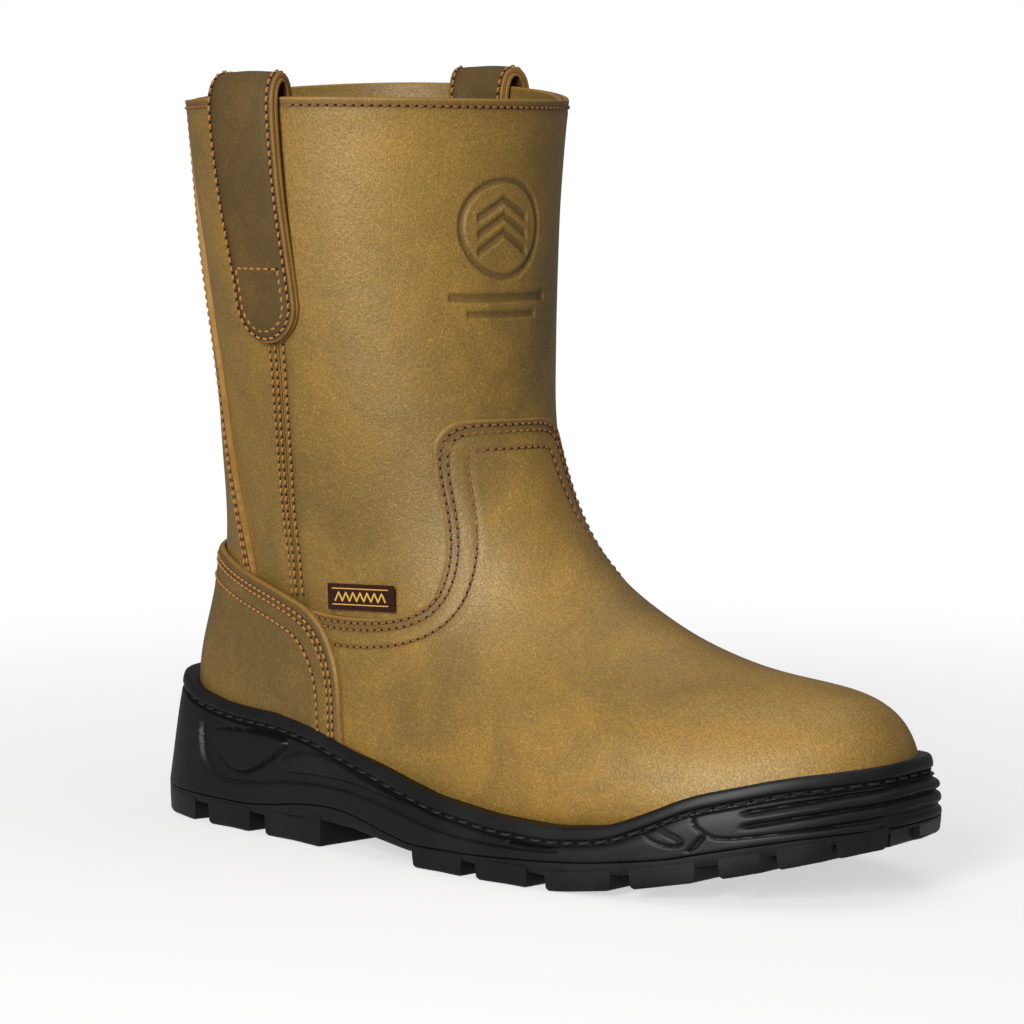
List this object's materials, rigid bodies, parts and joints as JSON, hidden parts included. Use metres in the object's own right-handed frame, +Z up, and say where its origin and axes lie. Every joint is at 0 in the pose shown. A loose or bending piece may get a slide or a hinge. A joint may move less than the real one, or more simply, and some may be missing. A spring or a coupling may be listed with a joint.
{
  "type": "pull-on safety boot",
  "caption": "Calf-height pull-on leather work boot with pull straps, stitched vamp and counter cover, steel toe cap inside and a cleated rubber sole.",
  "frame": {"origin": "centre of the bounding box on the ground plane, under the sole", "axes": "+X towards the toe, +Y towards the inner (medial) side of the right foot, +Z up"},
  "size_m": [0.3064, 0.144, 0.2659],
  "materials": {
    "upper_leather": "satin",
    "split_leather": "matte",
    "fibre_board": "matte",
    "steel": "satin",
    "edge_rubber": "matte",
    "lining_cloth": "matte",
    "sole_rubber": "satin",
    "tread_rubber": "matte",
    "black_thread": "matte",
    "felt": "matte",
    "footbed_foam": "matte",
    "footbed_cloth": "matte",
    "woven_label": "matte"
  },
  "bodies": {
    "boot": {"vamp": "upper_leather", "shaft_front": "upper_leather", "quarter_lateral": "upper_leather", "quarter_medial": "upper_leather", "backstay": "upper_leather", "counter_cover": "upper_leather", "strap_face_lateral": "upper_leather", "strap_face_medial": "upper_leather", "strap_backing_lateral": "split_leather", "strap_backing_medial": "split_leather", "topline_facing": "split_leather", "heel_counter": "fibre_board", "insole_board": "fibre_board", "toe_cap": "steel", "shank": "steel", "toe_cap_edge_strip": "edge_rubber", "vamp_lining": "lining_cloth", "shaft_lining": "lining_cloth", "midsole": "sole_rubber", "outsole": "tread_rubber", "sole_thread": "black_thread", "heel_filler": "felt", "forepart_filler": "felt"},
    "footbed": {"footbed_foam": "footbed_foam", "footbed_cover": "footbed_cloth"},
    "label": {"side_label": "woven_label"}
  },
  "joints": [
    {"name": "footbed_lift", "type": "hinge", "parent": "boot", "child": "footbed", "pos_m": [0.1326, 0, 0.0327], "axis": [0, 1, 0], "range_deg": [0, 8]},
    {"name": "label_flip", "type": "hinge", "parent": "boot", "child": "label", "pos_m": [-0.04214, -0.04189, 0.08313], "axis": [0.9989, 0.0271, 0.0391], "range_deg": [0, 95], "stiffness_Nm_per_rad": 0.0002}
  ]
}
